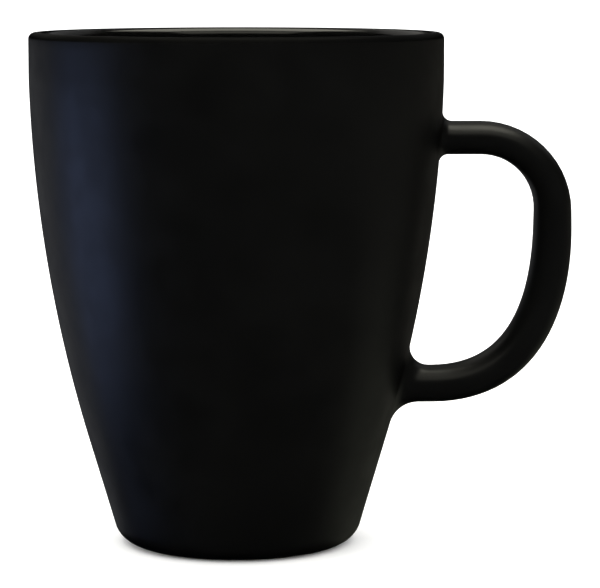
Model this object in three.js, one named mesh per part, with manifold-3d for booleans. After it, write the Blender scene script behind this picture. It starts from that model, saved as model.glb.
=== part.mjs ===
// A tapered stoneware mug with a loop handle: a jiggered clay cup, a cast clay handle luted on
// with slip, and the coats of glaze over them. Millimetres, +Z up, standing on the plane z = 0.
//
// Every outline is written for the finished, glazed surface, and takes a depth: 0 is the glaze's
// outside, GLAZE is its underside, and the clay starts one FIT deeper. Going deeper keeps each
// arc's centre and changes only its radius, so the layers stay parallel.
import * as THREE from "three";
import { mergeVertices } from "three/addons/utils/BufferGeometryUtils.js";
import Module from "manifold-3d";

// Cup, outside
const HEIGHT = 110.5;
const RIM_RADIUS = 44.5;
const RIM_BAND = 9.3; // straight upright band below the crest of the lip
const SHOULDER_RADIUS = 35;
const SHOULDER_TURN = rad(1.5); // slight break where the band meets the belly
const TAPER = rad(16.5); // lean of the straight lower wall
const CONE_TOP = 22.2; // height where the lower wall stops being straight
const HEEL_RADIUS = 5.6;

// Cup, inside and underside
const WALL = 4; // both coats of glaze included
const LIP_OUTER_RADIUS = 1.4;
const LIP_INNER_RADIUS = 2;
const FLOOR_HEIGHT = 6; // glazed inside floor above the table
const FLOOR_CORNER = 9;
const FOOT_RING_WIDTH = 4.3; // unglazed clay that touches the table
const FOOT_LINE = 0.12; // lower edge of the outside glaze above the table
const FOOT_BEVEL = 0.6; // how far the contact flat runs out past the heel arc's centre
const RECESS_DEPTH = 1.6;
const RECESS_CORNER = 1.2;

// Coats and joints
const GLAZE = 0.35;
const FIT = 0.03; // clearance between one layer and the next
const SLIP = 0.8; // slip between the cup's wall and the end of the handle

// Handle: the centreline lies in the plane y = 0
const HANDLE_DROP = 22.7; // lip crest down to the upper arm's centreline
const HANDLE_SPAN = 53.5; // between the two arms' centrelines
const GRIP_REACH = 23.75; // rim out to the grip's centreline
const UPPER_BEND = 15.7; // radius of the bend from upper arm to grip
const GRIP_STRAIGHT = 3.3; // upright stretch below the upper bend
const LOWER_STRAIGHT = 0.6; // level stretch between the lower arm's fillets and its sweep
const SWEEP_DOWN = 0.55; // how long the lower sweep keeps the grip's direction
const SWEEP_IN = 0.736; // how long it runs level before the lower arm
const HANDLE_WIDTH = 12; // across, along Y
const UPPER_THICKNESS = 7.2;
const GRIP_THICKNESS = 8.5;
const LOWER_THICKNESS = 7.9;
const SECTION_POWER = 2.3; // superellipse exponent, 2 being a plain oval

// Fillets of sponged slip at the handle's two roots
const UPPER_FILLETS = { over: 2.2, under: 2, side: 2.2 };
const LOWER_FILLETS = { over: 4.2, under: 6.4, side: 3.6 };

// Facets
const AROUND = 36;
const BELLY_STEPS = 5;
const HEEL_STEPS = 3;
const LIP_STEPS = 3;
const CORNER_STEPS = 4;
const SECTION_SIDES = 16;
const BEND_STEPS = 6;
const SWEEP_STEPS = 10;
const FILLET_STEPS = 4;

function rad(degrees) {
  return (degrees * Math.PI) / 180;
}

// The wall's arcs, each with its centre in the plane of radius and height
const bandFoot = HEIGHT - RIM_BAND;
const lip = { r: RIM_RADIUS - LIP_OUTER_RADIUS, z: HEIGHT - LIP_OUTER_RADIUS };
const shoulder = { r: RIM_RADIUS - SHOULDER_RADIUS, z: bandFoot };
const bellyTop = {
  r: shoulder.r + SHOULDER_RADIUS * Math.cos(SHOULDER_TURN),
  z: shoulder.z - SHOULDER_RADIUS * Math.sin(SHOULDER_TURN),
};
const bellyRadius = (bellyTop.z - CONE_TOP) / (Math.sin(TAPER) - Math.sin(SHOULDER_TURN));
const belly = {
  r: bellyTop.r - bellyRadius * Math.cos(SHOULDER_TURN),
  z: bellyTop.z + bellyRadius * Math.sin(SHOULDER_TURN),
};
const coneFoot = HEEL_RADIUS * (1 - Math.sin(TAPER));
const coneTopRadius = belly.r + bellyRadius * Math.cos(TAPER);
const coneFootRadius = coneTopRadius - (CONE_TOP - coneFoot) * Math.tan(TAPER);
const heel = { r: coneFootRadius - HEEL_RADIUS * Math.cos(TAPER), z: HEEL_RADIUS };
const footLineAngle = Math.acos(1 - FOOT_LINE / HEEL_RADIUS) - Math.PI / 2;
const clayDepth = GLAZE + FIT;
const crestRadius = lip.r - (WALL - LIP_OUTER_RADIUS - LIP_INNER_RADIUS) / 2;

function arc(centre, radius, from, to, steps) {
  return Array.from({ length: steps + 1 }, (_, i) => {
    const a = from + ((to - from) * i) / steps;
    return new THREE.Vector2(centre.r + radius * Math.cos(a), centre.z + radius * Math.sin(a));
  });
}

// The side wall from the top of the heel to the foot of the rim band.
function sideWall(depth) {
  return [
    ...arc(heel, HEEL_RADIUS - depth, footLineAngle, -TAPER, HEEL_STEPS),
    ...arc(belly, bellyRadius - depth, -TAPER, -SHOULDER_TURN, BELLY_STEPS),
    ...arc(shoulder, SHOULDER_RADIUS - depth, -SHOULDER_TURN, 0, 1).slice(1),
  ];
}

function outerLip(depth) {
  return arc(lip, LIP_OUTER_RADIUS - depth, 0, Math.PI / 2, LIP_STEPS);
}

// Radius of the finished wall at a height between the heel and the lip, or of a surface that
// stands proud of it.
function wallRadius(z, proud = 0) {
  const across = ({ r, z: middle }, radius) => r + Math.sqrt((radius + proud) ** 2 - (z - middle) ** 2);
  if (z > bandFoot) return RIM_RADIUS + proud;
  if (z > bellyTop.z - proud * Math.sin(SHOULDER_TURN)) return across(shoulder, SHOULDER_RADIUS);
  if (z > CONE_TOP - proud * Math.sin(TAPER)) return across(belly, bellyRadius);
  return coneTopRadius + proud / Math.cos(TAPER) - (CONE_TOP - z) * Math.tan(TAPER);
}

// Inside face, from the axis to the crest. Depth goes from the air into the clay, as outside.
const innerLip = { r: RIM_RADIUS - WALL + LIP_INNER_RADIUS, z: HEIGHT - LIP_INNER_RADIUS };
const floorCorner = insideCorner();

// The floor corner's arc touches the flat floor and the cone of the inside wall.
function insideCorner() {
  const z = FLOOR_HEIGHT + FLOOR_CORNER;
  return { r: wallRadius(z, -WALL - FLOOR_CORNER), z };
}

function insideFace(depth) {
  const deep = WALL - depth;
  return [
    new THREE.Vector2(0, FLOOR_HEIGHT - depth),
    ...arc(floorCorner, FLOOR_CORNER + depth, -Math.PI / 2, -TAPER, CORNER_STEPS),
    ...arc(belly, bellyRadius - deep, -TAPER, -SHOULDER_TURN, BELLY_STEPS),
    ...arc(shoulder, SHOULDER_RADIUS - deep, -SHOULDER_TURN, 0, 1).slice(1),
    ...arc(innerLip, LIP_INNER_RADIUS - depth, Math.PI, Math.PI / 2, LIP_STEPS),
  ];
}

// Recess face under the floor, from the axis to the inner edge of the foot ring.
const recessEdge = heel.r + FOOT_BEVEL - FOOT_RING_WIDTH;
const recessCorner = { r: recessEdge - RECESS_CORNER, z: RECESS_DEPTH - RECESS_CORNER };

function recessFace(depth) {
  return [
    new THREE.Vector2(0, RECESS_DEPTH + depth),
    ...arc(recessCorner, RECESS_CORNER + depth, Math.PI / 2, 0, LIP_STEPS),
  ];
}

const wasm = await Module();
wasm.setup();

function solid(geometry) {
  geometry.deleteAttribute("normal");
  geometry.deleteAttribute("uv");
  const merged = mergeVertices(geometry, 1e-4);
  return new wasm.Manifold(
    new wasm.Mesh({
      numProp: 3,
      vertProperties: merged.attributes.position.array,
      triVerts: new Uint32Array(merged.index.array),
    }),
  );
}

function geometryOf(manifold) {
  const mesh = manifold.getMesh();
  const geometry = new THREE.BufferGeometry();
  geometry.setAttribute("position", new THREE.BufferAttribute(mesh.vertProperties, mesh.numProp));
  geometry.setIndex(new THREE.BufferAttribute(mesh.triVerts, 1));
  geometry.computeVertexNormals();
  return geometry;
}

// A turned solid: its outline runs from the axis, anticlockwise round the clay, to the axis.
function turned(outline) {
  return new THREE.LatheGeometry(outline, AROUND).rotateX(Math.PI / 2);
}

// Everything inside the wall's face at a depth, up past the lip and down past the table.
// It is cut off square to the heel at the foot line, and upright at the crest of the lip.
function insideOfWall(depth) {
  const beyond = 1;
  const reach = heel.r + (heel.z + beyond) / Math.tan(-footLineAngle);
  return turned([
    new THREE.Vector2(0, -beyond),
    new THREE.Vector2(reach, -beyond),
    ...sideWall(depth),
    ...outerLip(depth),
    new THREE.Vector2(crestRadius + FIT / 2, HEIGHT - depth),
    new THREE.Vector2(crestRadius + FIT / 2, HEIGHT + beyond),
    new THREE.Vector2(0, HEIGHT + beyond),
  ]);
}

// The filled cup at a depth, with no hollow.
function filledCup(depth) {
  return turned([
    new THREE.Vector2(0, FOOT_LINE),
    ...sideWall(depth),
    ...outerLip(depth),
    new THREE.Vector2(0, HEIGHT - depth),
  ]);
}

// The handle's centreline, in the plane of x and z
const upperArm = HEIGHT - HANDLE_DROP;
const lowerArm = upperArm - HANDLE_SPAN;
const gripX = RIM_RADIUS + GRIP_REACH;
const bendX = gripX - UPPER_BEND;
const bendZ = upperArm - UPPER_BEND;
const gripFoot = bendZ - GRIP_STRAIGHT;
const upperRoot = { z: upperArm, way: 1, thickness: UPPER_THICKNESS, fillets: UPPER_FILLETS };
const lowerRoot = { z: lowerArm, way: -1, thickness: LOWER_THICKNESS, fillets: LOWER_FILLETS };

// The handle's section, as points across and outward of the loop, each with its outward normal.
function section(thickness) {
  const power = 2 / SECTION_POWER;
  const bent = (v, p) => Math.sign(v) * Math.abs(v) ** p;
  return Array.from({ length: SECTION_SIDES }, (_, k) => {
    const angle = (2 * Math.PI * k) / SECTION_SIDES;
    const c = Math.cos(angle);
    const s = Math.sin(angle);
    const point = [(HANDLE_WIDTH / 2) * bent(c, power), (thickness / 2) * bent(s, power)];
    const slope = [bent(c, 2 - power) / HANDLE_WIDTH, bent(s, 2 - power) / thickness];
    const size = Math.hypot(...slope);
    return { point, normal: slope.map((v) => v / size) };
  });
}

// The fillet at one side of a root: a ball of its radius that touches the arm and the wall.
// Returns its centre and the directions from there to the two points of contact.
function fillet(root, { point, normal }) {
  const up = normal[1] * root.way;
  const { over, under, side } = root.fillets;
  const radius = side + ((up > 0 ? over : under) - side) * up ** 2;
  const y = point[0] + radius * normal[0];
  const z = root.z + root.way * point[1] + radius * up;
  const fromAxis = wallRadius(z, radius);
  const centre = new THREE.Vector3(Math.sqrt(fromAxis ** 2 - y ** 2), y, z);
  const lean = (wallRadius(z + 1, radius) - wallRadius(z - 1, radius)) / 2;
  const toArm = new THREE.Vector3(0, -normal[0], -up);
  const toWall = new THREE.Vector3(-centre.x / fromAxis, -y / fromAxis, lean).normalize();
  return { radius, centre, toArm, toWall };
}

// Rings of one root at a depth, from inside the wall out to where the plain arm starts. Under
// the surface the arcs stop short by their depth, so a deeper layer also keeps inside sideways.
function rootRings(root, depth, withFillets) {
  const balls = section(root.thickness).map((s) => fillet(root, s));
  const ringAt = (share, reach) =>
    balls.map(({ radius, centre, toArm, toWall }) => {
      const whole = toArm.angleTo(toWall);
      const turn = share * (whole - depth / (radius + depth));
      const direction = toArm.clone().multiplyScalar(Math.sin(whole - turn) / Math.sin(whole));
      direction.addScaledVector(toWall, Math.sin(turn) / Math.sin(whole));
      return direction.multiplyScalar(radius + reach).add(centre);
    });
  const start = ringAt(0, depth);
  if (!withFillets) {
    const inWall = wallRadius(root.z, -WALL / 2);
    return [start.map((p) => new THREE.Vector3(inWall, p.y, p.z)), start];
  }
  const shares = Array.from({ length: FILLET_STEPS }, (_, i) => 1 - i / FILLET_STEPS);
  return [ringAt(1, WALL / 2), ...shares.map((share) => ringAt(share, depth)), start];
}

// Stations between the roots: a point of the centreline and its direction.
function loopStations() {
  const bend = Array.from({ length: BEND_STEPS + 1 }, (_, i) => {
    const a = (Math.PI / 2) * (1 - i / BEND_STEPS);
    const x = bendX + UPPER_BEND * Math.cos(a);
    return { x, z: bendZ + UPPER_BEND * Math.sin(a), tx: Math.sin(a), tz: -Math.cos(a) };
  });
  const filletEnd = Math.max(...section(LOWER_THICKNESS).map((s) => fillet(lowerRoot, s).centre.x));
  const sweepEnd = filletEnd + LOWER_STRAIGHT;
  const drop = gripFoot - lowerArm;
  const sweep = new THREE.CubicBezierCurve(
    new THREE.Vector2(gripX, gripFoot),
    new THREE.Vector2(gripX, gripFoot - SWEEP_DOWN * drop),
    new THREE.Vector2(sweepEnd + SWEEP_IN * (gripX - sweepEnd), lowerArm),
    new THREE.Vector2(sweepEnd, lowerArm),
  );
  const swept = Array.from({ length: SWEEP_STEPS + 1 }, (_, i) => {
    const p = sweep.getPointAt(i / SWEEP_STEPS);
    const t = sweep.getTangentAt(i / SWEEP_STEPS);
    return { x: p.x, z: p.y, tx: t.x, tz: t.y };
  });
  return [...bend, ...swept];
}

// Rings of the loop at a depth. The section swells from each root's thickness to the grip's.
function loopRings(depth) {
  const stations = loopStations();
  const lengths = [0];
  stations.slice(1).forEach((s, i) => {
    lengths.push(lengths[i] + Math.hypot(s.x - stations[i].x, s.z - stations[i].z));
  });
  return stations.map((s, i) => {
    const along = lengths[i] / lengths.at(-1);
    const root = along < 0.5 ? UPPER_THICKNESS : LOWER_THICKNESS;
    const swell = Math.sin(Math.PI * along) ** 2;
    return section(root + (GRIP_THICKNESS - root) * swell).map(({ point, normal }) => {
      const out = point[1] - depth * normal[1];
      return new THREE.Vector3(s.x - s.tz * out, point[0] - depth * normal[0], s.z + s.tx * out);
    });
  });
}

// The handle at a depth, as a loft through its rings. With fillets it flares into the wall.
function handleSolid(depth, withFillets) {
  const rings = [
    ...rootRings(upperRoot, depth, withFillets),
    ...loopRings(depth),
    ...rootRings(lowerRoot, depth, withFillets).reverse(),
  ];
  const middle = (ring) => {
    const sum = ring.reduce((total, p) => total.add(p), new THREE.Vector3());
    return sum.divideScalar(ring.length);
  };
  const points = [...rings.flat(), middle(rings[0]), middle(rings.at(-1))];
  const lastRing = (rings.length - 1) * SECTION_SIDES;
  const [startCap, endCap] = [points.length - 2, points.length - 1];
  const index = [];
  for (let k = 0; k < SECTION_SIDES; k++) {
    const next = (k + 1) % SECTION_SIDES;
    for (let a = 0; a < lastRing; a += SECTION_SIDES) {
      const b = a + SECTION_SIDES;
      index.push(a + k, a + next, b + next, a + k, b + next, b + k);
    }
    index.push(startCap, next, k);
    index.push(endCap, lastRing + k, lastRing + next);
  }
  const geometry = new THREE.BufferGeometry().setFromPoints(points);
  geometry.setIndex(index);
  return solid(geometry);
}

// The clay cup: outside, foot ring, recess, inside and lip in one turned outline.
function makeBody() {
  return turned([
    ...recessFace(clayDepth),
    new THREE.Vector2(recessEdge, 0),
    new THREE.Vector2(heel.r + FOOT_BEVEL, 0),
    ...sideWall(clayDepth),
    ...outerLip(clayDepth),
    ...insideFace(clayDepth).reverse(),
  ]);
}

// The clay handle stops one layer of slip short of the wall.
function makeHandle() {
  return handleSolid(clayDepth, false).subtract(solid(insideOfWall(-SLIP - FIT)));
}

// The slip at both roots: a pad behind each end of the handle, sponged out into a fillet.
function makeSlipJoints() {
  const seat = handleSolid(GLAZE, false).subtract(solid(insideOfWall(-SLIP)));
  const slip = handleSolid(clayDepth, true).subtract(solid(insideOfWall(GLAZE))).subtract(seat);
  const height = (m) => m.boundingBox().max[2];
  return slip.decompose().sort((a, b) => height(b) - height(a));
}

// One coat over the wall, the slip and the handle, from the lip's crest to the foot line.
function makeOuterGlaze() {
  const outside = solid(filledCup(0)).add(handleSolid(0, true));
  const clay = solid(insideOfWall(GLAZE)).add(handleSolid(GLAZE, true));
  return outside.subtract(clay);
}

// The inside coat, from the floor over the inner half of the lip.
function makeLinerGlaze() {
  const edge = crestRadius - FIT / 2;
  return turned([
    ...insideFace(GLAZE),
    new THREE.Vector2(edge, HEIGHT - GLAZE),
    new THREE.Vector2(edge, HEIGHT),
    ...insideFace(0).reverse(),
  ]);
}

function makeRecessGlaze() {
  return turned([...recessFace(0), ...recessFace(GLAZE).reverse()]);
}

const blackGlaze = () =>
  new THREE.MeshStandardMaterial({ color: 0x0c0c0d, roughness: 0.38, metalness: 0 });
const bareClay = () =>
  new THREE.MeshStandardMaterial({ color: 0xb7a58d, roughness: 0.9, metalness: 0 });
const driedSlip = () =>
  new THREE.MeshStandardMaterial({ color: 0xc3b39c, roughness: 0.92, metalness: 0 });

function piece(name, geometry, material) {
  const mesh = new THREE.Mesh(geometry, material);
  mesh.name = name;
  return mesh;
}

const [upperSlip, lowerSlip] = makeSlipJoints();
const mug = new THREE.Group();
mug.add(
  piece("body", makeBody(), bareClay()),
  piece("handle", geometryOf(makeHandle()), bareClay()),
  piece("upper_slip_joint", geometryOf(upperSlip), driedSlip()),
  piece("lower_slip_joint", geometryOf(lowerSlip), driedSlip()),
  piece("outer_glaze", geometryOf(makeOuterGlaze()), blackGlaze()),
  piece("liner_glaze", makeLinerGlaze(), blackGlaze()),
  piece("recess_glaze", makeRecessGlaze(), blackGlaze()),
);

// The part's origin is on the table under the middle of the whole mug, handle included.
const handleReach = gripX + GRIP_THICKNESS / 2;
mug.position.x = -(handleReach - RIM_RADIUS) / 2;

const part = new THREE.Group();
part.add(mug);
export default part;
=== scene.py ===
# %% [markdown]
# # A black stoneware mug
#
# The real mug is a jiggered clay cup with a cast clay handle stuck on with slip, and thin coats of
# black glaze over all of it but the foot. This notebook models those pieces one by one, each as
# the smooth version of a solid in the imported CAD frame, and then gives each its finish.
#
# The frame comes first. Its nodes stay where they are, and everything here is measured from them.

# %% Load the fixed frame
from math import acos, atan2, cos, hypot, pi, radians, sin, sqrt, tan

import bmesh
import bpy
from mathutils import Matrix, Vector


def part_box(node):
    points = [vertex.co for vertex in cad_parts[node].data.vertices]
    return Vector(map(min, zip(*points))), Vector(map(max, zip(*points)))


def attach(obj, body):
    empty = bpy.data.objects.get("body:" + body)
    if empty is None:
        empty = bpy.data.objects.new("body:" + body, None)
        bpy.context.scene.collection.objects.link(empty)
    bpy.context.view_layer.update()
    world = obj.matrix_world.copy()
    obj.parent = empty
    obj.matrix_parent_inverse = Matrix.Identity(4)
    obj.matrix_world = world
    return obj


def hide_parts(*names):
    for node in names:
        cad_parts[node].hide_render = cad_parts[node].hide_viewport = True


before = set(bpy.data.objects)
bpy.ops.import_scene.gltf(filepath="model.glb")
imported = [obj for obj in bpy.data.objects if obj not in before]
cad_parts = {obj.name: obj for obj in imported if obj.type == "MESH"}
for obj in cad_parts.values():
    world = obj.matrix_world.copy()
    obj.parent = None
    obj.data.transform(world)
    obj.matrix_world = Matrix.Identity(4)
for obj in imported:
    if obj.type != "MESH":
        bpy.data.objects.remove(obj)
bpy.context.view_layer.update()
print("frame nodes:", ", ".join(sorted(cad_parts)))

# %% [markdown]
# ## Sizes
#
# The cup's axis stands to the left of the part's origin, because the origin is under the middle of
# cup and handle together. The liner is a turned coat on that axis, so the middle of its box is the
# axis. The rim and the height come from the outside coat, and both arms from the clay handle.
#
# Every outline below is written for the finished, glazed surface and takes a depth: 0 is the
# outside of the glaze, GLAZE is its underside, and the clay starts one FIT deeper. Going deeper
# keeps the centre of each arc and changes only its radius, so the layers stay parallel.

# %% Sizes from the frame, and the layers
MM = 0.001
outer_low, outer_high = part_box("outer_glaze")
liner_low, liner_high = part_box("liner_glaze")
core_low, core_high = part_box("handle")
AXIS_X = (liner_low.x + liner_high.x) / 2
RIM_RADIUS = (outer_high.y - outer_low.y) / 2
HEIGHT = outer_high.z
GLAZE = 0.35 * MM
FIT = 0.03 * MM
CLAY_DEPTH = GLAZE + FIT
SLIP = 0.8 * MM
WALL = 4 * MM
print(f"axis at x = {AXIS_X / MM:.2f} mm, rim radius {RIM_RADIUS / MM:.2f}, height {HEIGHT / MM:.2f}")

# %% [markdown]
# ## The wall's outline
#
# From the table up, the wall is a small round heel, a straight cone, one long arc for the belly, a
# slight shoulder and an upright band under a rounded lip. Each stretch touches the next without a
# corner, except where the shoulder softens the break below the band. A function that gives the
# radius at any height serves the wall and also the roots of the handle, which have to lie on it.

# %% The wall as arcs
RIM_BAND = 9.3 * MM
SHOULDER_RADIUS = 35 * MM
SHOULDER_TURN = radians(1.5)
TAPER = radians(16.5)
CONE_TOP = 22.2 * MM
HEEL_RADIUS = 5.6 * MM
LIP_OUTER_RADIUS = 1.4 * MM
LIP_INNER_RADIUS = 2 * MM
FOOT_LINE = 0.12 * MM

band_foot = HEIGHT - RIM_BAND
lip = (RIM_RADIUS - LIP_OUTER_RADIUS, HEIGHT - LIP_OUTER_RADIUS)
crest_radius = lip[0] - (WALL - LIP_OUTER_RADIUS - LIP_INNER_RADIUS) / 2
shoulder = (RIM_RADIUS - SHOULDER_RADIUS, band_foot)
belly_top = (
    shoulder[0] + SHOULDER_RADIUS * cos(SHOULDER_TURN),
    shoulder[1] - SHOULDER_RADIUS * sin(SHOULDER_TURN),
)
belly_radius = (belly_top[1] - CONE_TOP) / (sin(TAPER) - sin(SHOULDER_TURN))
belly = (
    belly_top[0] - belly_radius * cos(SHOULDER_TURN),
    belly_top[1] + belly_radius * sin(SHOULDER_TURN),
)
cone_foot = HEEL_RADIUS * (1 - sin(TAPER))
cone_top_radius = belly[0] + belly_radius * cos(TAPER)
cone_foot_radius = cone_top_radius - (CONE_TOP - cone_foot) * tan(TAPER)
heel = (cone_foot_radius - HEEL_RADIUS * cos(TAPER), HEEL_RADIUS)
foot_line_angle = acos(1 - FOOT_LINE / HEEL_RADIUS) - pi / 2


def wall_radius(z, proud=0.0):
    """Radius at a height of the finished wall, or of a surface that stands proud of it."""
    if z > band_foot:
        return RIM_RADIUS + proud
    if z > belly_top[1] - proud * sin(SHOULDER_TURN):
        return shoulder[0] + sqrt((SHOULDER_RADIUS + proud) ** 2 - (z - shoulder[1]) ** 2)
    if z > CONE_TOP - proud * sin(TAPER):
        return belly[0] + sqrt((belly_radius + proud) ** 2 - (z - belly[1]) ** 2)
    return cone_top_radius + proud / cos(TAPER) - (CONE_TOP - z) * tan(TAPER)


def arc(centre, radius, start, end, steps):
    """Points (radius, height) along an arc, both of its ends included."""
    angles = [start + (end - start) * i / steps for i in range(steps + 1)]
    return [(centre[0] + radius * cos(a), centre[1] + radius * sin(a)) for a in angles]


def climb(low, high, steps):
    """Points up the finished wall, evenly spaced in height, without the lowest."""
    heights = [low + (high - low) * i / steps for i in range(1, steps + 1)]
    return [(wall_radius(z), z) for z in heights]


print(f"belly arc {belly_radius / MM:.1f} mm, heel centre at radius {heel[0] / MM:.2f} mm")

# %% [markdown]
# ## Turning a piece
#
# A potter's wheel turns an outline into a cup, and Spin does the same to a line of vertices. The
# line starts as a plane merged to one vertex, and each further point is an extrusion. After the
# spin the first and last columns lie on each other, so doubles are merged, and then the normals
# are recalculated. Every operator works on what is selected, and loading the frame leaves its
# nodes selected, so each piece starts by deselecting everything.

# %% Helpers for turned pieces
AROUND = 144
COLUMN = 2 * pi / AROUND
DOUBLES = 0.01 * MM
SMOOTH_ANGLE = radians(40)


def start_piece():
    """Leaves edit mode and deselects all, so that the next operator acts on the new piece only."""
    if bpy.context.mode != "OBJECT":
        bpy.ops.object.mode_set(mode="OBJECT")
    bpy.ops.object.select_all(action="DESELECT")


def name_piece(name):
    piece = bpy.context.object
    piece.name = piece.data.name = name
    return piece


def close_up():
    """Merges doubles and turns all faces outwards, on the mesh in edit mode."""
    bpy.ops.mesh.select_all(action="SELECT")
    bpy.ops.mesh.remove_doubles(threshold=DOUBLES)
    bpy.ops.mesh.normals_make_consistent(inside=False)


def turn(name, outline):
    """Draws (radius, height) points as a line of vertices and spins it round the mug's axis."""
    start_piece()
    bpy.ops.mesh.primitive_plane_add(size=MM)
    piece = name_piece(name)
    bpy.ops.object.mode_set(mode="EDIT")
    bpy.ops.mesh.merge(type="CENTER")
    bpy.ops.transform.translate(value=(AXIS_X + outline[0][0], 0, outline[0][1]))
    for (r, z), (next_r, next_z) in zip(outline, outline[1:]):
        step = (next_r - r, 0, next_z - z)
        bpy.ops.mesh.extrude_vertices_move(TRANSFORM_OT_translate={"value": step})
    bpy.ops.mesh.select_all(action="SELECT")
    bpy.ops.mesh.spin(steps=AROUND, angle=2 * pi, center=(AXIS_X, 0, 0), axis=(0, 0, 1))
    close_up()
    return piece


def apply_modifier(piece, kind, **settings):
    """Adds one modifier, sets it up and applies it."""
    bpy.ops.object.modifier_add(type=kind)
    modifier = piece.modifiers[-1]
    for setting, value in settings.items():
        setattr(modifier, setting, value)
    bpy.ops.object.modifier_apply(modifier=modifier.name)


def finish_piece(piece, slot, *nodes):
    """Smooths a piece, seats it on the frame's one body and says which nodes it stands for."""
    if bpy.context.mode != "OBJECT":
        bpy.ops.object.mode_set(mode="OBJECT")
    bpy.ops.object.shade_smooth_by_angle(angle=SMOOTH_ANGLE)
    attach(piece, "root")
    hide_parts(*nodes)
    print(f"{piece.name}: {len(piece.data.polygons)} faces, stands for {', '.join(nodes)}")


print(f"{AROUND} columns round, {2 * pi * RIM_RADIUS / AROUND / MM:.1f} mm apart at the lip")

# %% [markdown]
# ## The handle's line
#
# The handle is one loop in the plane through the mug's axis. It leaves the wall level, turns down
# in a quarter bend, falls a little way straight and then sweeps back to the wall on a longer,
# slacker curve. Its section is a soft oval, wider across than it is thick, and it swells towards
# the grip. A superellipse a little over power 2 gives that oval its slightly squarer sides.

# %% Sizes of the handle
HANDLE_WIDTH = 12 * MM
UPPER_THICKNESS = 7.2 * MM
GRIP_THICKNESS = 8.5 * MM
LOWER_THICKNESS = 7.9 * MM
SECTION_POWER = 2.3
SECTION_SIDES = 48
NEARLY_ZERO = 1e-9
UPPER_BEND = 15.7 * MM
GRIP_STRAIGHT = 3.3 * MM
LOWER_STRAIGHT = 0.6 * MM
SWEEP_DOWN = 0.55
SWEEP_IN = 0.736
BEND_STEPS = 14
SWEEP_STEPS = 28
ARM_STEPS = 3

upper_arm = core_high.z + CLAY_DEPTH - UPPER_THICKNESS / 2
lower_arm = core_low.z - CLAY_DEPTH + LOWER_THICKNESS / 2
# The origin is halfway between the far side of the cup and the outside of the grip.
grip_x = RIM_RADIUS - 2 * AXIS_X - GRIP_THICKNESS / 2
bend_x = grip_x - UPPER_BEND
bend_z = upper_arm - UPPER_BEND
grip_foot = bend_z - GRIP_STRAIGHT


def power(value, exponent):
    """A power that keeps the sign, and is 0 for a value that is only rounding."""
    size = abs(value) ** exponent if abs(value) > NEARLY_ZERO else 0.0
    return size if value > 0 else -size


def section(thickness):
    """The section's points, (across, outward of the loop), each with its outward normal."""
    sides = []
    for k in range(SECTION_SIDES):
        c, s = cos(2 * pi * k / SECTION_SIDES), sin(2 * pi * k / SECTION_SIDES)
        point = (
            HANDLE_WIDTH / 2 * power(c, 2 / SECTION_POWER),
            thickness / 2 * power(s, 2 / SECTION_POWER),
        )
        slope = (
            power(c, 2 - 2 / SECTION_POWER) / HANDLE_WIDTH,
            power(s, 2 - 2 / SECTION_POWER) / thickness,
        )
        size = hypot(*slope)
        sides.append((point, (slope[0] / size, slope[1] / size)))
    return sides


print(f"arms at z = {upper_arm / MM:.2f} and {lower_arm / MM:.2f} mm, grip {grip_x / MM:.2f} mm out")

# %% [markdown]
# ## The handle's roots
#
# Where the handle meets the wall, slip is sponged out into a fillet. A fillet is the path of a
# ball rolled along the corner so that it touches both the arm and the wall. For each point of the
# section there is one such ball. Its centre is a radius out from both surfaces, and the fillet is
# the arc between its two points of contact. The upper root is tight. The lower one is wider, most
# of all underneath, where the wall leans away.
#
# A Bevel on the joined shapes could make one even fillet, but not one that widens round the root.

# %% Rings of points round a root
UPPER_ROOT = {
    "z": upper_arm, "way": 1, "thickness": UPPER_THICKNESS,
    "over": 2.2 * MM, "under": 2 * MM, "side": 2.2 * MM,
}
LOWER_ROOT = {
    "z": lower_arm, "way": -1, "thickness": LOWER_THICKNESS,
    "over": 4.2 * MM, "under": 6.4 * MM, "side": 3.6 * MM,
}
FILLET_STEPS = 9


def ball(root, point, normal):
    """One ball of a root's fillet: its radius, centre and directions to the arm and the wall."""
    up = normal[1] * root["way"]
    widest = root["over"] if up > 0 else root["under"]
    radius = root["side"] + (widest - root["side"]) * up**2
    y = point[0] + radius * normal[0]
    z = root["z"] + root["way"] * point[1] + radius * up
    from_axis = wall_radius(z, radius)
    x = sqrt(from_axis**2 - y**2)
    lean = (wall_radius(z + MM, radius) - wall_radius(z - MM, radius)) / (2 * MM)
    to_wall = Vector((-x / from_axis, -y / from_axis, lean)).normalized()
    return radius, Vector((x + AXIS_X, y, z)), Vector((0, -normal[0], -up)), to_wall


def root_ring(root, share, depth, skin):
    """The ring that lies this far round every arc, from 0 at the arm to 1 at the wall. A layer
    deeper than the skin it is under starts and ends where its own arc comes out of that skin."""
    ring = []
    for point, normal in section(root["thickness"]):
        radius, centre, to_arm, to_wall = ball(root, point, normal)
        whole = to_arm.angle(to_wall)
        tip = acos((radius + skin) / (radius + depth))
        angle = tip + (whole - 2 * tip) * share
        direction = to_arm * sin(whole - angle) + to_wall * sin(angle)
        ring.append(centre + direction * (radius + depth) / sin(whole))
    return ring


def fillet_rings(root, depth=0.0, skin=0.0):
    """Rings from the wall to the plain arm."""
    return [root_ring(root, 1 - i / FILLET_STEPS, depth, skin) for i in range(FILLET_STEPS + 1)]


widest_ring = root_ring(LOWER_ROOT, 1, 0, 0)
root_height = max(p.z for p in widest_ring) - min(p.z for p in widest_ring)
print(f"the lower root covers {root_height / MM:.1f} mm of the wall's height")

# %% [markdown]
# ## The handle's loop
#
# Between its roots the handle is the oval section swept along a line: a quarter of a circle for the
# upper bend, a short upright stretch, and a cubic curve for the slack lower sweep. At each point of
# the line the section is set square to the line's direction. The extrusions below follow the rings
# that this gives.

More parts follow.
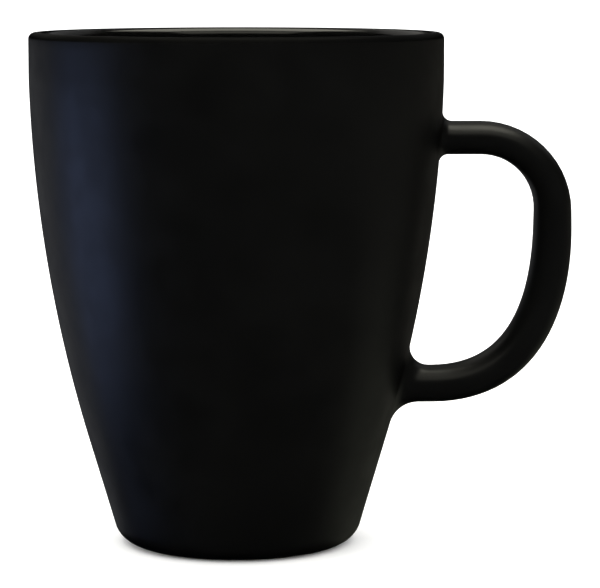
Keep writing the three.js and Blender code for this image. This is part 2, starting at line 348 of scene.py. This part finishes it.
# %% Rings of points along the loop
def loop_ring(x, z, along_x, along_z, thickness, depth):
    """The section at one point of the loop's line, square to its direction, at a depth."""
    ring = []
    for point, normal in section(thickness):
        out = point[1] - depth * normal[1]
        across = point[0] - depth * normal[0]
        ring.append(Vector((AXIS_X + x - along_z * out, across, z + along_x * out)))
    return ring


def loop_line():
    """Points of the loop between its arms, each as (x, z, direction x, direction z)."""
    line = []
    for i in range(BEND_STEPS + 1):
        a = pi / 2 * (1 - i / BEND_STEPS)
        line.append((bend_x + UPPER_BEND * cos(a), bend_z + UPPER_BEND * sin(a), sin(a), -cos(a)))
    sides = section(LOWER_THICKNESS)
    fillet_end = max(ball(LOWER_ROOT, *side)[1].x for side in sides) - AXIS_X
    sweep_end = fillet_end + LOWER_STRAIGHT
    pull = [
        Vector((grip_x, grip_foot)),
        Vector((grip_x, grip_foot - SWEEP_DOWN * (grip_foot - lower_arm))),
        Vector((sweep_end + SWEEP_IN * (grip_x - sweep_end), lower_arm)),
        Vector((sweep_end, lower_arm)),
    ]
    legs = [after - before for before, after in zip(pull, pull[1:])]
    for i in range(SWEEP_STEPS + 1):
        t = i / SWEEP_STEPS
        u = 1 - t
        place = u**3 * pull[0] + 3 * u * u * t * pull[1] + 3 * u * t * t * pull[2] + t**3 * pull[3]
        ahead = u * u * legs[0] + 2 * u * t * legs[1] + t * t * legs[2]
        ahead.normalize()
        line.append((place.x, place.y, ahead.x, ahead.y))
    return line


def loop_rings(depth):
    """Rings of the loop. The thickness swells from each root's to the grip's and back."""
    line = loop_line()
    lengths = [0.0]
    for before, after in zip(line, line[1:]):
        lengths.append(lengths[-1] + hypot(after[0] - before[0], after[1] - before[1]))
    rings = []
    for station, length in zip(line, lengths):
        along = length / lengths[-1]
        root = UPPER_THICKNESS if along < 0.5 else LOWER_THICKNESS
        thickness = root + (GRIP_THICKNESS - root) * sin(pi * along) ** 2
        rings.append(loop_ring(*station, thickness, depth))
    return rings


def between(ring, next_ring, steps):
    """Rings evenly spaced between two others, which are left out."""
    shares = [i / steps for i in range(1, steps)]
    return [[a.lerp(b, share) for a, b in zip(ring, next_ring)] for share in shares]


def handle_rings(depth, upper, lower):
    """All rings of a handle at a depth, given the rings at its upper and its lower root."""
    loop = loop_rings(depth)
    return [
        *upper,
        *between(upper[-1], loop[0], ARM_STEPS),
        *loop,
        *between(loop[-1], lower[-1], ARM_STEPS),
        *reversed(lower),
    ]


print(f"{len(handle_rings(0, fillet_rings(UPPER_ROOT), fillet_rings(LOWER_ROOT)))} rings")

# %% [markdown]
# ## The outside coat
#
# One coat of satin black glaze runs over the wall, the slip and the handle without a seam, so it
# is one skin here too. A Boolean would join a cup and a handle with a hard line and long thin
# faces. Instead the wall is spun, a window is cut where each root will be, and the edge of the
# upper window is extruded ring by ring: over the wall to the fillet, out along the handle, round
# the loop and into the lower window. Both windows and the section have 48 corners, so each corner
# of a ring knows its place in the next. It is kept as a number on the vertex, and an extruded
# vertex inherits it.

# %% Spin the wall of the outside coat
UPPER_WINDOW = {"middle": 88 * MM, "half_height": 9 * MM, "half_angle": 6 * COLUMN, "way": 1}
LOWER_WINDOW = {"middle": 34.5 * MM, "half_height": 11 * MM, "half_angle": 7 * COLUMN, "way": -1}
UPPER_WINDOW_ROWS = 12
LOWER_WINDOW_ROWS = 10
CONE_ROWS = 8
MIDDLE_ROWS = 14
TOP_ROWS = 2
BAND_ROWS = 5
HEEL_STEPS = 12
LIP_STEPS = 8
lower_sill = LOWER_WINDOW["middle"] - LOWER_WINDOW["half_height"]
lower_head = LOWER_WINDOW["middle"] + LOWER_WINDOW["half_height"]
upper_sill = UPPER_WINDOW["middle"] - UPPER_WINDOW["half_height"]
upper_head = UPPER_WINDOW["middle"] + UPPER_WINDOW["half_height"]

coat = turn("black_outer_glaze", [
    *arc(heel, HEEL_RADIUS, foot_line_angle, -TAPER, HEEL_STEPS),
    *climb(cone_foot, CONE_TOP, CONE_ROWS),
    *climb(CONE_TOP, lower_sill, 1),
    *climb(lower_sill, lower_head, LOWER_WINDOW_ROWS),
    *climb(lower_head, upper_sill, MIDDLE_ROWS),
    *climb(upper_sill, upper_head, UPPER_WINDOW_ROWS),
    *climb(upper_head, belly_top[1], TOP_ROWS),
    *climb(belly_top[1], band_foot, TOP_ROWS),
    *climb(band_foot, lip[1], BAND_ROWS),
    *arc(lip, LIP_OUTER_RADIUS, 0, pi / 2, LIP_STEPS)[1:],
    (crest_radius, HEIGHT),
])
wall_faces = len(bmesh.from_edit_mesh(coat.data).faces)
print(f"wall of the outside coat: {wall_faces} faces before the handle")

# %% [markdown]
# Each window is a block of whole faces, so that cutting it leaves square corners and no slivers. Its
# faces are selected by their place, and then the corners round its edge are numbered by their angle
# about the window's middle.

# %% Cut the windows and number their corners
def window_place(window, point):
    """Where a point is on a window: -1 to 1 across, and -1 to 1 outward of the handle's loop."""
    across = atan2(point.y, point.x - AXIS_X) / window["half_angle"]
    outward = (point.z - window["middle"]) / window["half_height"] * window["way"]
    return across, outward


def cut_window(piece, window):
    """Deletes the faces inside a window."""
    bpy.ops.mesh.select_all(action="DESELECT")
    bpy.ops.mesh.select_mode(type="FACE")
    mesh = bmesh.from_edit_mesh(piece.data)
    for face in mesh.faces:
        across, outward = window_place(window, face.calc_center_median())
        face.select_set(abs(across) < 1 and abs(outward) < 1)
    bmesh.update_edit_mesh(piece.data)
    bpy.ops.mesh.delete(type="FACE")
    bpy.ops.mesh.select_mode(type="VERT")


def number_corners(piece, window):
    """Numbers the corners round a window's edge, anticlockwise as the section's points go, and
    returns their places in that order."""
    mesh = bmesh.from_edit_mesh(piece.data)
    number = mesh.verts.layers.int.get("corner") or mesh.verts.layers.int.new("corner")
    half_corner = pi / SECTION_SIDES

    def turned(vertex):
        across, outward = window_place(window, vertex.co)
        return (atan2(outward, across) + half_corner) % (2 * pi)

    on_edge = [
        v for v in mesh.verts
        if v.is_boundary and max(map(abs, window_place(window, v.co))) < 1 + half_corner
    ]
    on_edge.sort(key=turned)
    for k, vertex in enumerate(on_edge):
        vertex[number] = k
        vertex.select_set(True)
    mesh.select_flush(True)
    bmesh.update_edit_mesh(piece.data)
    return [vertex.co.copy() for vertex in on_edge]


cut_window(coat, UPPER_WINDOW)
cut_window(coat, LOWER_WINDOW)
lower_edge = number_corners(coat, LOWER_WINDOW)
bpy.ops.mesh.select_all(action="DESELECT")
upper_edge = number_corners(coat, UPPER_WINDOW)
print(f"window edges: {len(upper_edge)} and {len(lower_edge)} corners")

# %% [markdown]
# The rings near a window lie on the wall and shrink from the window's square to the fillet's oval.
# That apron keeps the wall's own curve right up to the fillet, and the last ring falls on the lower
# window's corners, where merging doubles welds it.

# %% Extrude the handle from window to window
APRON_STEPS = 3


def extrude_rings(piece, rings):
    """Extrudes the selected loop of edges through the rings, each corner to its own place."""
    for ring in rings:
        bpy.ops.mesh.extrude_region_move()
        mesh = bmesh.from_edit_mesh(piece.data)
        number = mesh.verts.layers.int["corner"]
        for vertex in mesh.verts:
            if vertex.select:
                vertex.co = ring[vertex[number]]
        bmesh.update_edit_mesh(piece.data)


def on_wall(corner, share, contact):
    """A point of the finished wall between a window's corner and a fillet's point of contact."""
    start = atan2(corner.y, corner.x - AXIS_X)
    end = atan2(contact.y, contact.x - AXIS_X)
    angle = start + (end - start) * share
    z = corner.z + (contact.z - corner.z) * share
    return Vector((AXIS_X + wall_radius(z) * cos(angle), wall_radius(z) * sin(angle), z))


def apron(edge, contact, steps):
    """Rings over the wall from a window's edge to the fillet, both left out."""
    shares = [i / steps for i in range(1, steps)]
    return [[on_wall(a, share, b) for a, b in zip(edge, contact)] for share in shares]


upper_rings = fillet_rings(UPPER_ROOT)
lower_rings = fillet_rings(LOWER_ROOT)
extrude_rings(coat, handle_rings(
    0,
    [*apron(upper_edge, upper_rings[0], APRON_STEPS), *upper_rings],
    [lower_edge, *apron(lower_edge, lower_rings[0], APRON_STEPS), *lower_rings],
))
close_up()
bpy.ops.object.mode_set(mode="OBJECT")
outward_faces = sum(
    1 for f in coat.data.polygons if f.normal.dot(f.center - Vector((AXIS_X, 0, f.center.z))) > 0
)
print(f"outside coat: {len(coat.data.polygons)} faces, {outward_faces} of them face away from the axis")

# %% [markdown]
# The skin has no thickness yet. Solidify gives it the coat's, inwards from the finished surface,
# and closes the edge at the foot line and the edge at the crest of the lip.

# %% Give the coat its thickness
apply_modifier(
    coat, "SOLIDIFY", thickness=GLAZE, offset=-1, use_even_offset=True, use_quality_normals=True
)
finish_piece(coat, "outer_black_glaze", "outer_glaze")

# %% [markdown]
# ## The inside coat and the recess
#
# The inside coat runs from the floor up the wall and over the inner half of the lip, where it
# meets the outside coat. It is thin and closed, so its outline goes up one face and down the other
# before it is spun. The shallow recess under the floor is glazed too, inside the bare foot ring.

# %% Turn the inside coat
FLOOR_HEIGHT = 6 * MM
FLOOR_CORNER = 9 * MM
FLOOR_RINGS = 4
CORNER_STEPS = 12
BELLY_STEPS = 32
SHOULDER_STEPS = 2
INNER_LIP_STEPS = 10
inner_lip = (RIM_RADIUS - WALL + LIP_INNER_RADIUS, HEIGHT - LIP_INNER_RADIUS)
corner_height = FLOOR_HEIGHT + FLOOR_CORNER
floor_corner = (wall_radius(corner_height, -WALL - FLOOR_CORNER), corner_height)


def flat(radius, z, steps):
    """Points out along a flat disc from the axis, without the last."""
    return [(radius * i / steps, z) for i in range(steps)]


def inside_face(depth):
    """The inside of the cup, from the middle of the floor to the crest of the lip."""
    deep = WALL - depth
    return [
        *flat(floor_corner[0], FLOOR_HEIGHT - depth, FLOOR_RINGS),
        *arc(floor_corner, FLOOR_CORNER + depth, -pi / 2, -TAPER, CORNER_STEPS),
        *arc(belly, belly_radius - deep, -TAPER, -SHOULDER_TURN, BELLY_STEPS),
        *arc(shoulder, SHOULDER_RADIUS - deep, -SHOULDER_TURN, 0, SHOULDER_STEPS)[1:],
        *arc(inner_lip, LIP_INNER_RADIUS - depth, pi, pi / 2, INNER_LIP_STEPS),
    ]


liner = turn("black_liner_glaze", [
    *inside_face(GLAZE),
    (crest_radius, HEIGHT - GLAZE),
    (crest_radius, HEIGHT),
    *reversed(inside_face(0)),
])
finish_piece(liner, "inner_black_glaze", "liner_glaze")

# %% [markdown]
# The recess is a shallow dish inside the foot ring. Its coat is turned in the same way, and stops a
# little above the table, so that the ring stays bare.

# %% Turn the recess coat
FOOT_BEVEL = 0.6 * MM
FOOT_RING_WIDTH = 4.3 * MM
RECESS_DEPTH = 1.6 * MM
RECESS_CORNER = 1.2 * MM
RECESS_STEPS = 8
recess_edge = heel[0] + FOOT_BEVEL - FOOT_RING_WIDTH
recess_corner = (recess_edge - RECESS_CORNER, RECESS_DEPTH - RECESS_CORNER)


def recess_face(depth):
    """The underside of the floor, from the axis to the inner edge of the foot ring."""
    return [
        *flat(recess_corner[0], RECESS_DEPTH + depth, FLOOR_RINGS),
        *arc(recess_corner, RECESS_CORNER + depth, pi / 2, 0, RECESS_STEPS),
    ]


recess = turn("black_recess_glaze", [*recess_face(0), *reversed(recess_face(GLAZE))])
finish_piece(recess, "inner_black_glaze", "recess_glaze")

# %% [markdown]
# ## The clay cup
#
# Under the coats is the cup itself. All that shows of it is the foot ring, which is wiped clean of
# glaze before firing because it would stick to the kiln shelf. The ring's two edges are rounded
# a little with Bevel, as a damp sponge leaves them.

# %% Turn the clay cup and sponge its foot
FOOT_ROUNDING = 0.3 * MM
ROUNDING_SEGMENTS = 3
CLAY_HEEL_STEPS = 10


def outer_wall(depth):
    """The outside of the cup, from the foot line to the crest of the lip."""
    return [
        *arc(heel, HEEL_RADIUS - depth, foot_line_angle, -TAPER, CLAY_HEEL_STEPS),
        *arc(belly, belly_radius - depth, -TAPER, -SHOULDER_TURN, BELLY_STEPS),
        *arc(shoulder, SHOULDER_RADIUS - depth, -SHOULDER_TURN, 0, SHOULDER_STEPS)[1:],
        *arc(lip, LIP_OUTER_RADIUS - depth, 0, pi / 2, LIP_STEPS),
    ]


cup = turn("clay_cup", [
    *recess_face(CLAY_DEPTH),
    (recess_edge, 0),
    (heel[0] + FOOT_BEVEL, 0),
    *outer_wall(CLAY_DEPTH),
    *reversed(inside_face(CLAY_DEPTH)),
])
bpy.ops.mesh.select_all(action="DESELECT")
mesh = bmesh.from_edit_mesh(cup.data)
for edge in mesh.edges:
    on_table = all(v.co.z < DOUBLES for v in edge.verts)
    radii = [hypot(v.co.x - AXIS_X, v.co.y) for v in edge.verts]
    edge.select_set(on_table and abs(radii[0] - radii[1]) < DOUBLES)
bmesh.update_edit_mesh(cup.data)
bpy.ops.mesh.bevel(offset=FOOT_ROUNDING, segments=ROUNDING_SEGMENTS)
finish_piece(cup, "stoneware_clay", "body")

# %% [markdown]
# ## The clay handle and its slip
#
# The clay handle is cast by itself and ends a layer of slip short of the wall, in faces hollowed
# to the cup's curve. Each slip joint is a pad behind that end and a collar sponged out round it.
# All three are extruded from a circle, ring by ring, with the rings that the coat uses, only
# deeper, so they fill the coat without cutting into it.

# %% Helpers for pieces made of rings
CAP_RINGS = 4


def arm_ring(root, depth):
    """The plain arm's section at a depth, at its place across and up."""
    ring = []
    for point, normal in section(root["thickness"]):
        across = point[0] - depth * normal[0]
        outward = point[1] - depth * normal[1]
        ring.append(Vector((0, across, root["z"] + root["way"] * outward)))
    return ring


def cap(root, edge, proud):
    """Rings from the arm's line out to an edge, on a surface that stands proud of the wall."""
    rings = []
    for i in range(CAP_RINGS + 1):
        ring = []
        for corner in edge:
            y = corner.y * i / CAP_RINGS
            z = root["z"] + (corner.z - root["z"]) * i / CAP_RINGS
            ring.append(Vector((AXIS_X + sqrt(wall_radius(z, proud) ** 2 - y**2), y, z)))
        rings.append(ring)
    return rings


def string_rings(name, rings):
    """Extrudes a circle through the rings. The first and the last are shut to a point."""
    start_piece()
    bpy.ops.mesh.primitive_circle_add(vertices=SECTION_SIDES, radius=HANDLE_WIDTH / 2)
    piece = name_piece(name)
    bpy.ops.object.mode_set(mode="EDIT")
    mesh = bmesh.from_edit_mesh(piece.data)
    number = mesh.verts.layers.int.new("corner")
    for k, vertex in enumerate(mesh.verts):
        vertex[number] = k
        vertex.co = rings[0][k]
    bmesh.update_edit_mesh(piece.data)
    extrude_rings(piece, rings[1:])
    close_up()
    return piece


print(f"each end is shut by {CAP_RINGS} rings round a middle point")

# %% [markdown]
# The clay handle uses the coat's loop at the clay's depth, with a hollowed cap at each end.

# %% Extrude the clay handle
handle_ends = [
    cap(root, arm_ring(root, CLAY_DEPTH), SLIP + FIT) for root in (UPPER_ROOT, LOWER_ROOT)
]
clay_handle = string_rings("clay_handle", handle_rings(CLAY_DEPTH, *handle_ends))
finish_piece(clay_handle, "stoneware_clay", "handle")

# %% [markdown]
# A slip joint starts in the middle of the face that the clay handle's end sits on. It goes out to
# the collar, over the collar's arc to the wall, and back along the cup's face to the middle.

# %% Extrude the slip joints
for name, node, root in (
    ("upper_slip", "upper_slip_joint", UPPER_ROOT),
    ("lower_slip", "lower_slip_joint", LOWER_ROOT),
):
    pad = cap(root, arm_ring(root, GLAZE), SLIP)
    collar = fillet_rings(root, CLAY_DEPTH, GLAZE)[::-1]
    back = cap(root, collar[-1], -GLAZE)[::-1]
    finish_piece(string_rings(name, [*pad, *collar, *back[1:]]), "joining_slip", node)

# %% [markdown]
# ## Finishes
#
# Every finish is a Principled shader fed by noise on Object coordinates, so nothing slides when
# the mug turns and no seam shows where pieces meet. Noise sizes are written as the real size of a
# feature, and a bump's depth is the real depth in metres.

# %% Helpers for finishes
class Finish:
    """A material, its shader, and short ways to make the nodes that feed it."""

    def __init__(self, name):
        self.material = bpy.data.materials.new(name)
        self.material.use_nodes = True
        self.nodes = self.material.node_tree.nodes
        self.links = self.material.node_tree.links
        self.shader = self.nodes["Principled BSDF"]
        self.place = self.nodes.new("ShaderNodeTexCoord").outputs["Object"]

    def noise(self, size, detail=2.0, roughness=0.5):
        """Cloudy noise whose features are about this size, from 0 to 1."""
        node = self.nodes.new("ShaderNodeTexNoise")
        node.inputs["Scale"].default_value = 1 / size
        node.inputs["Detail"].default_value = detail
        node.inputs["Roughness"].default_value = roughness
        self.links.new(self.place, node.inputs["Vector"])
        return node.outputs["Fac"]

    def dots(self, spacing, radius):
        """1 inside round dots scattered at this spacing, fading to 0 at their radius."""
        node = self.nodes.new("ShaderNodeTexVoronoi")
        node.inputs["Scale"].default_value = 1 / spacing
        self.links.new(self.place, node.inputs["Vector"])
        return self.remap(node.outputs["Distance"], (0, radius / spacing), (1, 0))

    def remap(self, value, given, wanted):
        """A value spread from one range to another, and held at its ends."""
        node = self.nodes.new("ShaderNodeMapRange")
        node.interpolation_type = "SMOOTHSTEP"
        self.links.new(value, node.inputs["Value"])
        ends = zip(("From Min", "From Max", "To Min", "To Max"), (*given, *wanted))
        for socket, end in ends:
            node.inputs[socket].default_value = end
        return node.outputs["Result"]

    def math(self, operation, value, other):
        """Two values, or a value and a number, put through one sum."""
        node = self.nodes.new("ShaderNodeMath")
        node.operation = operation
        self.links.new(value, node.inputs[0])
        if isinstance(other, bpy.types.NodeSocket):
            self.links.new(other, node.inputs[1])
        else:
            node.inputs[1].default_value = other
        return node.outputs["Value"]

    def blend(self, value, colours):
        """Colours along a value, as (where, colour) pairs."""
        ramp = self.nodes.new("ShaderNodeValToRGB")
        stops = ramp.color_ramp.elements
        while len(stops) < len(colours):
            stops.new(0.5)
        for stop, (where, colour) in zip(stops, colours):
            stop.position = where
            stop.color = (*colour, 1)
        self.links.new(value, ramp.inputs["Fac"])
        return ramp.outputs["Color"]

    def mix(self, share, first, second):
        """Two colours mixed by a share from 0 to 1."""
        node = self.nodes.new("ShaderNodeMix")
        node.data_type = "RGBA"
        wanted = {"Factor_Float": share, "A_Color": first, "B_Color": second}
        for socket in node.inputs:
            value = wanted.get(socket.identifier)
            if isinstance(value, bpy.types.NodeSocket):
                self.links.new(value, socket)
            elif value is not None:
                socket.default_value = (*value, 1)
        return next(s for s in node.outputs if s.identifier == "Result_Color")

    def height(self):
        """The height above the table, in metres."""
        node = self.nodes.new("ShaderNodeSeparateXYZ")
        self.links.new(self.place, node.inputs["Vector"])
        return node.outputs["Z"]

    def bump(self, height, depth, under=None):
        """A bump of a real depth, over another bump's normal if one is given."""
        node = self.nodes.new("ShaderNodeBump")
        node.inputs["Distance"].default_value = depth
        self.links.new(height, node.inputs["Height"])
        if under is not None:
            self.links.new(under, node.inputs["Normal"])
        return node.outputs["Normal"]

    def feed(self, colour, roughness, normal):
        """Links the shader's colour, roughness and normal."""
        for socket, value in (("Base Color", colour), ("Roughness", roughness), ("Normal", normal)):
            self.links.new(value, self.shader.inputs[socket])


NOISE_SPREAD = (0.3, 0.7)
print("finish helpers ready")

# %% [markdown]
# ### Satin black outside
#
# The outside glaze is a dense, nearly neutral black with a soft satin gloss. Close up it isn't
# even. Thin clouds show where the coat ran thicker or thinner, the gloss shifts a little from
# place to place, and the surface has a fine orange peel with a few pinholes where gas came out.
# The bumps are kept to hundredths of a millimetre, because the coat looks smooth from a hand away.
# Over the outer rounding of the lip the coat is matt, as a glaze that ran thin can be, so its shine
# fades out there with the height above the table.

# %% Make the outside glaze
BLACK_THICK = (0.0015, 0.0015, 0.0014)
BLACK_THIN = (0.0021, 0.0021, 0.0018)
SATIN_GLOSSIEST = 0.34
SATIN_DULLEST = 0.42
SHINE = 0.5
LIP_SHINE = 0.02
LIP_FADE = 0.4 * MM
BLACK_SHADES = [(0.35, BLACK_THICK), (0.7, BLACK_THIN)]
CLOUD_SIZE = 14 * MM
SHEEN_SIZE = 7 * MM
PEEL_SIZE = 2.2 * MM
PEEL_DEPTH = 0.009 * MM
GRAIN_SIZE = 0.45 * MM
GRAIN_DEPTH = 0.0016 * MM
PINHOLE_SPACING = 9 * MM
PINHOLE_RADIUS = 0.3 * MM
PINHOLE_DEPTH = 0.03 * MM

satin = Finish("satin_black_glaze")
clouds = satin.noise(CLOUD_SIZE, detail=4, roughness=0.6)
peel = satin.noise(PEEL_SIZE, detail=1)
grain = satin.noise(GRAIN_SIZE, detail=2)
pinholes = satin.dots(PINHOLE_SPACING, PINHOLE_RADIUS)
satin_normal = satin.bump(peel, PEEL_DEPTH)
satin_normal = satin.bump(grain, GRAIN_DEPTH, satin_normal)
satin_normal = satin.bump(satin.math("MULTIPLY", pinholes, -1), PINHOLE_DEPTH, satin_normal)
sheen = satin.noise(SHEEN_SIZE, detail=3)
lip_shine = satin.remap(satin.height(), (lip[1], lip[1] + LIP_FADE), (SHINE, LIP_SHINE))
satin.links.new(lip_shine, satin.shader.inputs["Specular IOR Level"])
satin.feed(
    satin.blend(clouds, BLACK_SHADES),
    satin.remap(sheen, NOISE_SPREAD, (SATIN_GLOSSIEST, SATIN_DULLEST)),
    satin_normal,
)
coat.data.materials.append(satin.material)
print("outside glaze:", satin.material.name)

# %% [markdown]
# ### The inside and the recess
#
# The inside is poured with the same black, fired to more gloss so that it rinses clean. Its index is
# set above a plain glaze's 1.5, which makes its highlights brighter. Its floor is where most of the
# glaze gathers, so the waves in it are longer and smoother.

# %% Make the inside glaze
GLOSS_GLOSSIEST = 0.15
GLOSS_DULLEST = 0.22
GLOSS_INDEX = 1.65
POOL_SIZE = 18 * MM
POLISH_SIZE = 9 * MM
RIPPLE_SIZE = 4 * MM
RIPPLE_DEPTH = 0.014 * MM
PIT_SPACING = 7 * MM
PIT_RADIUS = 0.25 * MM
PIT_DEPTH = 0.02 * MM

gloss = Finish("gloss_black_glaze")
pools = gloss.noise(POOL_SIZE, detail=3)
polish = gloss.noise(POLISH_SIZE, detail=3)
ripple = gloss.noise(RIPPLE_SIZE, detail=1)
pits = gloss.dots(PIT_SPACING, PIT_RADIUS)
gloss_normal = gloss.bump(ripple, RIPPLE_DEPTH)
gloss_normal = gloss.bump(gloss.math("MULTIPLY", pits, -1), PIT_DEPTH, gloss_normal)
gloss.feed(
    gloss.blend(pools, BLACK_SHADES),
    gloss.remap(polish, NOISE_SPREAD, (GLOSS_GLOSSIEST, GLOSS_DULLEST)),
    gloss_normal,
)
gloss.shader.inputs["IOR"].default_value = GLOSS_INDEX
for piece in (liner, recess):
    piece.data.materials.append(gloss.material)
print("inside glaze:", gloss.material.name)

# %% [markdown]
# ### Bare clay and slip
#
# The foot ring is fired stoneware: buff, matt, sandy to the finger, peppered with small iron
# specks, and rubbed smoother on the flat that stands on tables. The slip inside the
# joints is the same clay let down with water, so it is paler and shows the drag of the sponge.

# %% Make the clay and the slip
CLAY_PALE = (0.42, 0.34, 0.25)
CLAY_WARM = (0.33, 0.25, 0.175)
IRON = (0.07, 0.04, 0.025)
SLIP_PALE = (0.5, 0.43, 0.33)
SLIP_DAMP = (0.41, 0.34, 0.25)
CLAY_SHADES = [(0.35, CLAY_WARM), (0.65, CLAY_PALE)]
SLIP_SHADES = [(0.35, SLIP_DAMP), (0.65, SLIP_PALE)]
CLAY_DULLNESS = (0.8, 0.92)
DULLNESS_SIZE = 3 * MM
MOTTLE_SIZE = 5 * MM
IRON_SPACING = 2.6 * MM
IRON_RADIUS = 0.35 * MM
RUBBED_HEIGHT = 0.5 * MM
RUBBED_SMOOTHER = 0.12
SAND_SIZE = 0.35 * MM
DRAG_DEPTH = 0.03 * MM


def fired_clay(name, shades, drag, sand_depth):
    """A matt clay with iron specks. Sand gives it a fine grit, and drag a longer streak."""
    clay = Finish(name)
    specks = clay.dots(IRON_SPACING, IRON_RADIUS)
    mottle = clay.noise(MOTTLE_SIZE, detail=5, roughness=0.65)
    dullness = clay.remap(clay.noise(DULLNESS_SIZE), NOISE_SPREAD, CLAY_DULLNESS)
    rubbed = clay.remap(clay.height(), (0, RUBBED_HEIGHT), (RUBBED_SMOOTHER, 0))
    sand = clay.bump(clay.noise(SAND_SIZE, detail=3), sand_depth)
    clay.feed(
        clay.mix(specks, clay.blend(mottle, shades), IRON),
        clay.math("SUBTRACT", dullness, rubbed),
        clay.bump(clay.noise(drag, detail=2), DRAG_DEPTH, sand),
    )
    return clay.material


clay = fired_clay("bare_stoneware", CLAY_SHADES, drag=1.8 * MM, sand_depth=0.03 * MM)
slip = fired_clay("sponged_slip", SLIP_SHADES, drag=4 * MM, sand_depth=0.012 * MM)
for piece in (cup, clay_handle):
    piece.data.materials.append(clay)
for name in ("upper_slip", "lower_slip"):
    bpy.data.objects[name].data.materials.append(slip)
print("clay finishes:", clay.name, slip.name)

# %% [markdown]
# ## Floor, light and camera
#
# The floor is a wide, plain, near-white sheet in a white room. A black glaze shows only what it
# mirrors, so neither the floor nor the room is mirrored in it: the gloss comes from soft boxes
# alone, as in a studio hung with black cloth.

# %% Lay the floor and light the room
FLOOR_WIDTH = 24
FLOOR_WHITE = (0.93, 0.93, 0.925)
PAPER_DULLNESS = 0.9
ROOM_WHITE = (1, 1, 1)
ROOM_STRENGTH = 2
FLOOR_GAP = 0.01 * MM

start_piece()
bpy.ops.mesh.primitive_plane_add(size=FLOOR_WIDTH, location=(0, 0, -FLOOR_GAP))
floor = name_piece("floor")
paper = Finish("white_paper")
paper.shader.inputs["Base Color"].default_value = (*FLOOR_WHITE, 1)
paper.shader.inputs["Roughness"].default_value = PAPER_DULLNESS
paper.shader.inputs["Specular IOR Level"].default_value = 0
floor.data.materials.append(paper.material)
floor.visible_glossy = False
floor.visible_shadow = False

room = bpy.data.worlds.new("white_room")
bpy.context.scene.world = room
room.use_nodes = True
background = room.node_tree.nodes["Background"]
background.inputs["Color"].default_value = (*ROOM_WHITE, 1)
background.inputs["Strength"].default_value = ROOM_STRENGTH
room.cycles_visibility.glossy = False
bpy.context.scene.view_settings.view_transform = "Standard"
print(f"floor {FLOOR_WIDTH} m wide in a white room")

# %% [markdown]
# Each soft box hangs at a bearing round the mug, 0 in front of it and 90 off the handle's side, and
# is turned to face it. A big cool one to the left lays a broad soft band down the wall, and a dim
# one carries it on round the far side. Dim warm ones to the right stop the wall from going flat.
# Under 0 degrees of lift a box hangs lower than the floor, as it would beside a small table, so
# the floor lets its light through. One nearly overhead and one high in front light the lip and the
# tops of the handle, and three dim ones behind give the back of the mug some shape.

# %% Hang the soft boxes
AIM = Vector((AXIS_X, 0, HEIGHT / 2))
BOX_DISTANCE = 0.8
BOXES = {
    # name: bearing and lift in degrees, width and height in metres, glow and colour of its face
    "left_box": (-92, -12, 0.58, 0.37, 0.88, (0.42, 0.55, 1.0)),
    "left_far_box": (-136, -11, 0.62, 0.42, 0.17, (0.93, 0.95, 1.0)),
    "right_front_box": (42, -8, 0.8, 0.4, 0.022, (1.0, 1.0, 0.85)),
    "right_box": (114, -8, 1.5, 0.4, 0.06, (1.0, 0.96, 0.82)),
    "right_low_box": (122, -30, 1.0, 0.28, 0.13, (0.97, 1.0, 0.8)),
    "back_box": (180, -8, 0.5, 0.4, 0.18, (1.0, 1.0, 1.0)),
    "top_box": (180, 82, 0.9, 0.6, 2.1, (1.0, 0.98, 0.84)),
    "top_front_box": (0, 55, 0.9, 0.4, 0.65, (1.0, 0.98, 0.84)),
    "back_right_box": (150, 32, 0.7, 0.36, 0.15, (1.0, 1.0, 1.0)),
    "back_left_box": (-150, 32, 0.7, 0.36, 0.3, (1.0, 0.98, 0.92)),
}


def hang_box(name, bearing, lift, width, height, glow, colour):
    """A rectangular light that faces the mug. glow is the brightness of its face."""
    b, e = radians(bearing), radians(lift)
    back = Vector((sin(b) * cos(e), -cos(b) * cos(e), sin(e)))
    bpy.ops.object.light_add(type="AREA", location=AIM + back * BOX_DISTANCE)
    box = bpy.context.object
    box.name = name
    box.rotation_euler = back.to_track_quat("Z", "Y").to_euler()
    box.data.shape = "RECTANGLE"
    box.data.size = width
    box.data.size_y = height
    box.data.energy = glow * pi * width * height
    box.data.color = colour
    box.visible_camera = False


for name, facts in BOXES.items():
    hang_box(name, *facts)
print(f"{len(BOXES)} soft boxes")

# %% [markdown]
# The camera looks from a little above the lip through a long lens, aimed between cup and handle.

# %% Place the camera
CAMERA_PLACE = (AXIS_X, -600 * MM, 126 * MM)
LOOKS_DOWN = radians(6.85)
LOOKS_RIGHT = radians(1.298)
LENS = 167.3

start_piece()
bpy.ops.object.camera_add(
    location=CAMERA_PLACE, rotation=(pi / 2 - LOOKS_DOWN, 0, -LOOKS_RIGHT)
)
camera = bpy.context.object
camera.data.lens = LENS
bpy.context.scene.camera = camera
print(f"camera {-CAMERA_PLACE[1]:.2f} m in front, lens {LENS} mm")
